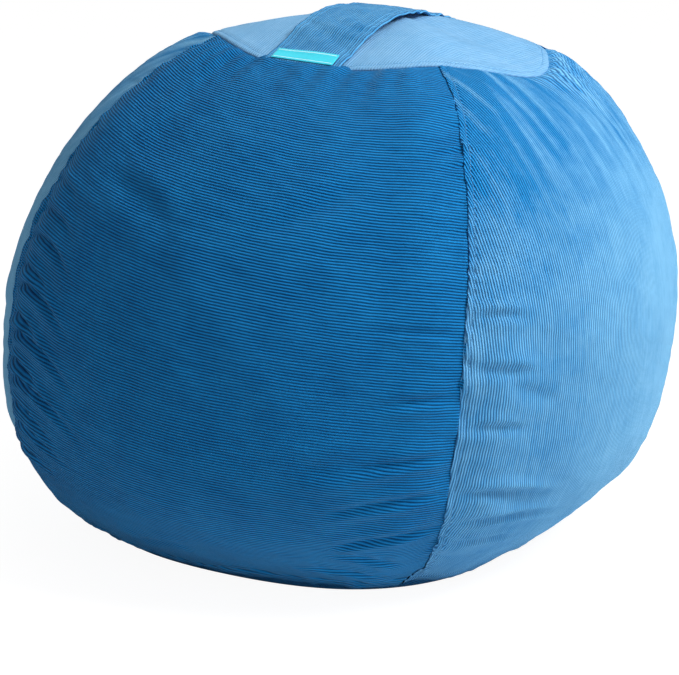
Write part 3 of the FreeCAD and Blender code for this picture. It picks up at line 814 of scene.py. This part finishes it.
side_paths = []
foot_paths = []
panels = {}
for name, facing in PANELS.items():
    side = Side(facing)
    rows, columns = side.points.shape[:2]
    panels[name] = grid_mesh(f"{name}_panel", side.points, side.flat)
    finish(panels[name], CLOTHS[name], "cover", "corduroy", f"cover_{name}_panel")
    side_paths.append(side.path(np.arange(16, rows - 6, 0.5), side.place_of(FOLD_STITCH, FOLDED)))
    for distance in FOOT_STITCHES:
        foot_paths.append(side.path(side.place_of(distance, HEMMED), np.arange(6, columns - 5, 0.5)))
finish(stitches("side_topstitching", side_paths, 0.0007), THREAD, "cover", "corduroy")
finish(stitches("foot_topstitching", foot_paths, 0.0008), THREAD, "cover", "corduroy")

# ---- Dome ----

DOME_EDGE = [
    (-26, 0), (-21, 0.4), (-17, 0.9), (-13, 1.5), (-10, 1.7), (-8, 1.4), (-6.6, 1.2), (-5, 1.7),
    (-3, 2.1), (-1, 2.1), (0.8, 1.6), (1.8, 0.6), (1.9, -0.6), (1.0, -1.6), (-3, -1.8), (-7, -2.0),
]
STRAP_SHADOW = 0.052


def pressed(x, y):
    """How much the strap's ends press the dome flat."""
    return smooth(STRAP_SHADOW + 0.014, STRAP_SHADOW, np.abs(x)) * smooth(0.10, 0.16, np.abs(y))


def dome_relief(angle, radius):
    x = np.radians(angle) * SEAM_RADIUS
    relief = 0.0016 * lumps(angle / 30, radius / 0.09, 12, 31) * smooth(0, 0.06, radius)
    relief += 0.0007 * lumps(angle / 9, radius / 0.035, 40, 32) * smooth(0, 0.09, radius)
    away = SEAM_RADIUS - radius
    inside = smooth(0.0, 0.022, away)
    relief += 0.0018 * puckers(away, x, 301, 0.012, 0.020) * inside
    relief += 0.0022 * puckers(away, x, 305, 0.036, 0.045) * inside
    return relief * (0.3 + 0.7 * inside)


def dome():
    edge = np.array(DOME_EDGE) / 1000
    plain = np.linspace(0.003, SEAM_RADIUS + edge[0, 0], 60)[:-1]
    radius = np.concatenate([plain, SEAM_RADIUS + edge[:, 0]])[::-1, None]
    lift = np.concatenate([np.zeros(len(plain)), edge[:, 1]])[::-1, None]
    angle = all_round(TURN_COLUMNS)
    radius, lift, angle = np.broadcast_arrays(radius, lift, angle)
    wander = 0.0012 * noise(angle / 12 + 60, 41) + 0.0003 * noise(angle / 4 + 150, 42)
    radius = radius + wander * smooth(0.15, 0.2, radius)
    x, y = polar(radius, angle)
    base = dome_point(angle, radius)
    centre = top_point(np.zeros(1), np.zeros(1), np.full(1, CROWN_RISE - DOME_RADIUS))[0]
    outward = unit(base - centre)
    press = pressed(x, y)
    lift = np.where(lift > 0, lift * (1 - 0.9 * press), lift) + dome_relief(angle, radius) * (1 - press)
    return base + outward * (lift - 0.001 * press)[..., None], outward, np.stack([x, y], axis=-1)


dome_points, dome_outward, dome_flat = dome()
top = grid_mesh("top_panel", dome_points, dome_flat, closed=True, hub=True)
finish(top, CLOTHS["top"], "cover", "corduroy", "cover_top_panel")
edge_row = len(DOME_EDGE) - 1 - 6.3
line = np.arange(0, TURN_COLUMNS - 1.5, 0.5)
full = np.full_like(line, edge_row)
top_path = (sampler(dome_points)(full, line), sampler(dome_outward)(full, line))
finish(stitches("top_topstitching", [top_path]), THREAD, "cover", "corduroy")

# ---- Base ----

def base():
    angle = all_round(TURN_COLUMNS)
    inner = np.linspace(0.004, BASE_RADIUS, 24)[:-1, None]
    flat_part = np.broadcast_to(inner, (len(inner), TURN_COLUMNS))
    zipped = smooth(ZIP_SPAN / 2 + 2.5, ZIP_SPAN / 2 - 0.5, zip_turn(angle))
    rim = along_at(RIM_HEIGHT)
    edge = (along_at(foot_level(angle)) + 0.006) * (1 - zipped) + rim * zipped
    climb = np.linspace(0, 1, 14)[:, None]
    along = edge * climb
    wall = wall_point(np.broadcast_to(angle, along.shape), along)
    outward = wall_normal(np.broadcast_to(angle, along.shape), along)
    under = 0.0014 * smooth(0.004, 0.016, along) * (1 - zipped)
    small = 0.0010 * puckers(along - 0.02, np.radians(angle) * 0.3, 501, 0.012, 0.014)
    wall = wall + outward * (small * smooth(0, 0.01, along) - under)[..., None]
    spread = flat_part * (1 + (corners(angle, 0) - 1) * flat_part / BASE_RADIUS)
    floor = np.stack([*polar(spread, angle), np.zeros_like(flat_part)], axis=-1)
    creased = np.abs(lumps(angle / 10, flat_part / 0.03, 36, 77))
    floor[..., 2] += 0.0007 * creased * smooth(0.28, 0.2, flat_part)
    points = np.concatenate([floor, wall])[::-1]
    reach = np.concatenate([flat_part, BASE_RADIUS + along])[::-1]
    return points, np.stack(polar(reach, angle), axis=-1)


base_points, base_flat = base()
bottom = grid_mesh("base_panel", base_points, base_flat, closed=True, hub=True)
bottom.data.flip_normals()
finish(bottom, CLOTHS["base"], "cover", "corduroy", "cover_base_panel")

# ---- Carry strap ----

STRAP_REACH = 0.2056
STRAP_RISE = CROWN_RISE + HAND_GAP - HANDLE_CLEARANCE
STRAP_RADIUS = (STRAP_REACH ** 2 + STRAP_RISE ** 2) / (2 * STRAP_RISE)
STRAP_THICK = 0.0034
STRAP_ROWS = 240
STRAP_END = 0.2085
STRAP_TUCK = 0.2088
STRAP_CROWDING = 1.35
# Half of the strap's section, from under its middle round its edge to the middle of its top, in mm
STRAP_HALF = [
    (0, -3.0), (22, -3.0), (36, -3.1), (44, -3.1), (46.6, -2.7), (47.5, -1.9), (47.4, -0.9),
    (46.6, -0.2), (45.4, 0.1), (44.0, 0.0), (42.8, -0.5), (41.4, 0.0), (39.5, 0.1), (37.8, -0.1),
    (36.4, -0.5), (35, -0.1), (31, 0), (24, 0), (16, 0), (8, 0), (0, 0),
]
STRAP_STITCHES = (10, 14)
# How far from the middle the strap starts and ends following the handle
STRAP_BEND = (0.150, 0.004)


def strap_line(y):
    """Height of the strap's upper side in the top seam's frame."""
    arc = np.sqrt((STRAP_RADIUS + STRAP_THICK) ** 2 - np.clip(np.abs(y), 0, 0.2075) ** 2)
    dip = STRAP_DIP * smooth(0.10, 0.19, np.abs(y))
    dip = dip + 0.0032 * smooth(0.00, 0.06, y) * smooth(0.18, 0.12, y) - 0.0028 * bell(y + 0.05, 0.045)
    return arc - (STRAP_RADIUS - STRAP_RISE - HANDLE_CLEARANCE) - dip


def strap():
    half = np.array(STRAP_HALF) / 1000
    section = np.vstack([half, half[-2::-1] * [-1, 1]])
    run = np.linspace(-1, 1, STRAP_ROWS)
    y = STRAP_END * np.sin(run * STRAP_CROWDING) / math.sin(STRAP_CROWDING)
    rise = strap_line(y)
    # The ends turn down into the seam
    tail = np.array([0.0036, 0.0024, 0.0012])
    y = np.concatenate([np.full(3, -STRAP_TUCK), y, np.full(3, STRAP_TUCK)])
    rise = np.concatenate([rise[0] - tail, rise, rise[-1] - tail[::-1]])
    tangent = unit(np.stack([np.gradient(y), np.gradient(rise)], axis=-1))
    x = np.broadcast_to(section[:, 0], (len(y), len(section)))
    out = np.broadcast_to(section[:, 1], x.shape).copy()
    length = np.concatenate([[0], np.cumsum(np.hypot(np.diff(y), np.diff(rise)))])[:, None]
    edge = np.abs(x) / HANDLE_HALF
    uneven = 0.5 + 0.5 * noise(x / 0.02 + 9, 607)
    creases = 0.0016 * noise(length / 0.013 + 0.9 * np.sin(x / 0.022), 601) * uneven
    creases += 0.0009 * noise((length + 0.7 * x) / 0.012, 608)
    creases += 0.0006 * noise(length / 0.007 + 8 + 0.5 * x / 0.04, 602) * smooth(0.45, 0.95, edge)
    creases += 0.0014 * noise(length / 0.05 + 3, 603)
    cup = -0.0016 * edge ** 2 * (0.6 + 0.5 * noise(length / 0.06 + 9, 604))
    quiet = smooth(0, 0.03, length) * smooth(0, 0.03, length[-1] - length)
    out += (np.clip(creases, -0.0018, 0.0030) + cup) * quiet
    sway = 0.0012 * noise(length / 0.045 + 20, 605) * np.sign(x) * smooth(0.5, 1, edge)
    normal_y = -tangent[:, 1:2]
    normal_z = tangent[:, 0:1]
    points = top_point(x + sway, y[:, None] + normal_y * out, rise[:, None] + normal_z * out)
    girth = np.concatenate([[0], np.cumsum(np.hypot(*np.diff(section, axis=0).T))])
    flat = np.stack(np.broadcast_arrays(girth[None, :], length), axis=-1)
    return points, flat, y, section


strap_points, strap_flat, strap_y, strap_section = strap()
middle = len(strap_y) // 2
HALVES = (("strap_front", slice(0, middle + 1), -1), ("strap_back", slice(middle, len(strap_y)), 1))
strap_up = np.diff(top_point(np.zeros(2), np.zeros(2), np.array([0, 1.0])), axis=0)[0]
for name, part, way in HALVES:
    item = grid_mesh(name, strap_points[part], strap_flat[part])
    finish(item, CLOTHS["strap"], None, "corduroy", "carry_handle")
    start, end = (
        top_point(np.zeros(1), np.full(1, way * reach), np.zeros(1))[0] for reach in STRAP_BEND
    )
    grid = strap_points[part]
    last = len(strap_section) - 1
    span = np.arange(4 if way < 0 else 0, len(grid) - (1 if way < 0 else 4), 0.5)
    paths = []
    for column in [*STRAP_STITCHES, *(last - at for at in STRAP_STITCHES)]:
        place = sampler(grid)(span, np.full_like(span, column))
        paths.append((place, np.broadcast_to(strap_up, place.shape)))
    thread = finish(stitches(f"{name}_stitching", paths), THREAD, None, "corduroy")
    for piece in (item, thread):
        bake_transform(piece)
    panels[name] = item

# ---- Label ----

LABEL_HALF = 0.039
LABEL_DEPTH = 0.020
LABEL_Y = 0.2073
LABEL_ROUNDING = 0.0004
LABEL_LINES = ((0.0022, 0.0031), (0.0170, 0.0179))
LABEL_LINE_HALF = 0.0372


def label_grid(half, near, far, lift, thick):
    """A closed flat tab on the strap's front end, from near to far along it."""
    rows, columns = 22, 40
    across = np.linspace(-1, 1, columns) * half
    reach = np.linspace(near, far, rows)
    x, away = np.meshgrid(across, reach)
    y = -LABEL_Y + away * 0.88
    curve = 0.0008 * np.sin(x / half * 2.2 + 0.5) * smooth(0, 0.02, away)
    curve = curve + 0.0012 * smooth(0.012, 0.021, away)
    rise = strap_line(y) + lift + curve
    return top_point(x, y, rise), top_point(x, y, rise - thick)


def rim_of(grid):
    return np.concatenate([grid[0, :], grid[1:, -1], grid[-1, -2::-1], grid[-2:0:-1, 0]])


def slab(name, upper, lower):
    """A thin closed solid between two grids, with rounded edges."""
    rows, columns = upper.shape[:2]
    middle = (upper + lower) / 2
    index = np.arange(rows * columns).reshape(rows, columns)
    outline, ring = rim_of(middle), rim_of(index)
    count = rows * columns
    centre = middle.mean(axis=(0, 1))
    outline = outline + LABEL_ROUNDING * unit(outline - centre)
    vertices = np.vstack([upper.reshape(-1, 3), lower.reshape(-1, 3), outline])
    faces = []
    for i in range(rows - 1):
        for j in range(columns - 1):
            a, b, c, d = index[i, j], index[i, j + 1], index[i + 1, j + 1], index[i + 1, j]
            faces.append((a, b, c, d))
            faces.append((count + d, count + c, count + b, count + a))
    for k in range(len(ring)):
        n = (k + 1) % len(ring)
        faces.append((ring[n], ring[k], 2 * count + k, 2 * count + n))
        faces.append((2 * count + n, 2 * count + k, count + ring[k], count + ring[n]))
    return new_piece(name, vertices.tolist(), [tuple(int(v) for v in face) for face in faces])


label = slab("label_tab", *label_grid(LABEL_HALF, 0, LABEL_DEPTH, 0.0016, 0.0009))
finish(label, LABEL_CLOTH, "label", "label_weave", "sewn_label")
for number, (near, far) in enumerate(LABEL_LINES):
    line_grid = label_grid(LABEL_LINE_HALF, near, far, 0.00175, 0.0003)
    border = slab(f"label_border_{number}", *line_grid)
    finish(border, LABEL_LINE, "label", "label_weave")

# ---- Zippers ----

ZIP_SLOPE = math.radians(39.92)
LOOP_PITCH = 0.0024
LOOP_SIZES = (0.0006, 0.00085, 0.0009, 0.0009, 0.00085, 0.0006)


def coil(name, node, radius, height, span, way, material, slot):
    """One side of a zipper's chain: a row of small loops across the slot's edge."""
    corners = 6
    rings = len(LOOP_SIZES)
    count = int(math.radians(span) * radius / LOOP_PITCH) - 1
    vertices, faces = [], []
    for number in range(count):
        place = (number + 0.75 + 0.25 * way) * LOOP_PITCH / radius
        turn = math.radians(ZIP_HEADING - span / 2) + place
        for end, size in enumerate(LOOP_SIZES):
            along = way * (0.0032 - 0.0005 * end)
            for corner in range(corners):
                swing = 2 * math.pi * corner / corners
                out = -0.0028 + 1.05 * size * math.cos(swing)
                aside = 0.62 * size * math.sin(swing) / radius
                r = radius + along * math.cos(ZIP_SLOPE) + out * math.sin(ZIP_SLOPE)
                z = height + along * math.sin(ZIP_SLOPE) - out * math.cos(ZIP_SLOPE)
                vertices.append((r * math.cos(turn + aside), r * math.sin(turn + aside), z))
        first = len(vertices) - rings * corners
        faces += tube_faces(first, rings, corners)
        faces.append(tuple(first + corner for corner in range(corners - 1, -1, -1)))
        faces.append(tuple(len(vertices) - corners + corner for corner in range(corners)))
    return finish(new_piece(name, vertices, faces), material, "cover", slot, node)


def recolour(node, material):
    """Gives a CAD solid that stays visible its material."""
    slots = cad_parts[node].data.materials
    slots.clear()
    slots.append(material)


# Each zipper: radius and height of its middle line, its span in degrees, tape and chain
ZIPPERS = (
    ("cover_zipper", 0.30714, 0.01833, 80, TAPE_CLOTH, COIL),
    ("liner_zipper", 0.29464, 0.02833, 60, LINER_TAPE, LINER_COIL),
)
for prefix, radius, height, span, tape, chain in ZIPPERS:
    for side, way in (("lower", -1), ("upper", 1)):
        coil(f"{prefix}_{side}_chain", f"{prefix}_coil_{side}", radius, height, span, way, chain,
             "zipper_coil")
        recolour(f"{prefix}_tape_{side}", tape)
    for part in ("slider", "end_stops"):
        recolour(f"{prefix}_{part}", SLIDER)

# ---- Liner and fill ----

LINER_FOOT = 0.034
FILL_FOOT = 0.045
FILL_COLUMNS = 180
CAP_COLUMNS = 120


def inner_wall(facing, inset):
    angle = np.linspace(facing - 44.8, facing + 44.8, 46)[None, :]
    climb = np.linspace(0, 1, 60)[:, None]
    foot = along_at(LINER_FOOT)
    along = foot + (TOP - 0.012 - foot) * climb
    along, angle = np.broadcast_arrays(along, angle)
    outward = wall_normal(angle, along)
    inward = inset + 0.0012 * lumps(angle / 6, along / 0.05, 60, 700 + int(inset * 1e5))
    points = wall_point(angle, along) - outward * inward[..., None]
    return points, np.stack([np.radians(angle - facing) * radius_at(along), along], axis=-1)


def inner_cap(radius, curve, squared):
    """A round sheet: curve gives its points, and squared follows the foot's corners."""
    rings = np.linspace(radius, 0.004, 24)[:, None]
    rings, angle = np.broadcast_arrays(rings, all_round(CAP_COLUMNS))
    spread = rings * (corners(angle, 0) if squared else 1)
    x, y = polar(spread, angle)
    return curve(x, y, rings), np.stack([x, y], axis=-1)


for name, facing in PANELS.items():
    item = grid_mesh(f"liner_{name}", *inner_wall(facing, LINER_INSET))
    finish(item, LINER_CLOTH, "cover", "liner_cloth", f"liner_{name}_panel")
    panels[f"liner_{name}"] = item


def liner_dome(x, y, rings):
    rise = np.sqrt((DOME_RADIUS - LINER_INSET) ** 2 - rings ** 2) - (DOME_RADIUS - CROWN_RISE)
    return top_point(x, y, rise)


def liner_floor(x, y, rings):
    return np.stack([x, y, 0.0075 + 0.015 * smooth(0.272, 0.289, rings)], axis=-1)


liner_top = grid_mesh("liner_top", *inner_cap(0.199, liner_dome, False), closed=True, hub=True)
finish(liner_top, LINER_CLOTH, "cover", "liner_cloth", "liner_top_panel")
liner_base = grid_mesh("liner_base", *inner_cap(0.287, liner_floor, True), closed=True, hub=True)
finish(liner_base, LINER_CLOTH, "cover", "liner_cloth", "liner_base_panel")


def fill_points():
    along = np.linspace(along_at(FILL_FOOT), TOP - 0.02, 90)[:, None]
    along, angle = np.broadcast_arrays(along, all_round(FILL_COLUMNS))
    depth = FILL_INSET + 0.004 + 0.0025 * lumps(angle / 8, along / 0.06, 45, 801)
    wall = wall_point(angle, along) - wall_normal(angle, along) * depth[..., None]
    rings = np.linspace(0.19, 0.004, 30)[:, None]
    rings, angle = np.broadcast_arrays(rings, all_round(FILL_COLUMNS))
    rise = np.sqrt((DOME_RADIUS - FILL_INSET - 0.003) ** 2 - rings ** 2) - (DOME_RADIUS - CROWN_RISE)
    rise = rise + 0.002 * lumps(angle / 20, rings / 0.05, 18, 802) * smooth(0, 0.08, rings)
    crown = top_point(*polar(rings, angle), rise)
    rings = np.linspace(0.004, 0.262, 16)[:, None]
    rings, angle = np.broadcast_arrays(rings, angle[:1])
    level = 0.0135 + 0.02 * smooth(0.235, 0.29, rings)
    floor = np.stack([*polar(rings * corners(angle, 0), angle), level], axis=-1)
    return np.concatenate([floor, wall, crown])


fill_grid = fill_points()
fill = grid_mesh("bead_mass", fill_grid, fill_grid[..., :2], closed=True, hub=True)
finish(fill, BEADS, "cover", "bead_fill", "bean_fill")

# ---- Floor, light and camera ----

FLOOR_GLOW = 1.14
FLOOR_GLOW_SHARE = 0.82
floor_mesh = bpy.data.meshes.new("floor")
floor_mesh.from_pydata([(-9, -9, 0), (9, -9, 0), (9, 9, 0), (-9, 9, 0)], [], [(0, 1, 2, 3)])
floor = new_object("floor", floor_mesh)
floor_material, tree, shader = new_material("floor")
settle(shader, {"Base Color": (0.93, 0.93, 0.93, 1), "Roughness": 0.8})
glow = tree.nodes.new("ShaderNodeEmission")
blend_node = tree.nodes.new("ShaderNodeMixShader")
make = Nodes(tree)
seen = tree.nodes.new("ShaderNodeLightPath").outputs["Is Camera Ray"]
glow.inputs["Strength"].default_value = FLOOR_GLOW
make.plug(blend_node.inputs[0], make.times(seen, FLOOR_GLOW_SHARE))
make.plug(blend_node.inputs[1], shader.outputs[0])
make.plug(blend_node.inputs[2], glow.outputs[0])
make.plug(tree.nodes["Material Output"].inputs[0], blend_node.outputs[0])
floor_mesh.materials.append(floor_material)

AZIMUTH = math.radians(27.48)
ELEVATION = math.radians(14.1)
DISTANCE = 2.352
FOCUS = Vector((0, 0, 0.315))
LENS = 98.05
SENSOR = 36
AIM_RIGHT = math.radians(0.27)
AIM_DOWN = math.radians(2.19)


def camera_axes(azimuth, elevation):
    """Back, right and up for a camera that looks at the bag from there."""
    back = Vector((
        math.sin(azimuth) * math.cos(elevation),
        -math.cos(azimuth) * math.cos(elevation),
        math.sin(elevation),
    ))
    right = Vector((math.cos(azimuth), math.sin(azimuth), 0))
    return back, right, back.cross(right)


def lamp(name, azimuth, elevation, distance, size, power):
    """A soft square light, placed by its direction from the bag, measured from the camera's."""
    back, right, up = camera_axes(AZIMUTH + math.radians(azimuth), math.radians(elevation))
    data = bpy.data.lights.new(name, "AREA")
    data.energy = power
    data.size = size
    light = new_object(name, data)
    light.location = Vector((0, 0, 0.35)) + back * distance
    light.rotation_euler = back.to_track_quat("Z", "Y").to_euler()


AMBIENT = 0.36
lamp("key", 64, 46, 2.6, 1.1, 72)
lamp("top", 15, 82, 2.4, 1.4, 8)
lamp("fill", 50, 5, 3.5, 2.0, 14)

world = bpy.data.worlds.new("studio")
world.use_nodes = True
tree = world.node_tree
make = Nodes(tree)
backdrop = tree.nodes["Background"]
backdrop.inputs[0].default_value = (1, 1, 1, 1)
seen = tree.nodes.new("ShaderNodeLightPath").outputs["Is Camera Ray"]
make.plug(backdrop.inputs[1], make.math("MULTIPLY_ADD", seen, 1 - AMBIENT, AMBIENT))
bpy.context.scene.world = world

back, right, up = camera_axes(AZIMUTH, ELEVATION)
aim = -back + right * math.tan(AIM_RIGHT) - up * math.tan(AIM_DOWN)
camera_data = bpy.data.cameras.new("camera")
camera_data.lens = LENS
camera_data.sensor_width = SENSOR
camera = new_object("camera", camera_data)
camera.location = FOCUS + back * DISTANCE
camera.rotation_euler = aim.to_track_quat("-Z", "Y").to_euler()
bpy.context.scene.camera = camera
bpy.context.scene.view_settings.view_transform = "Standard"
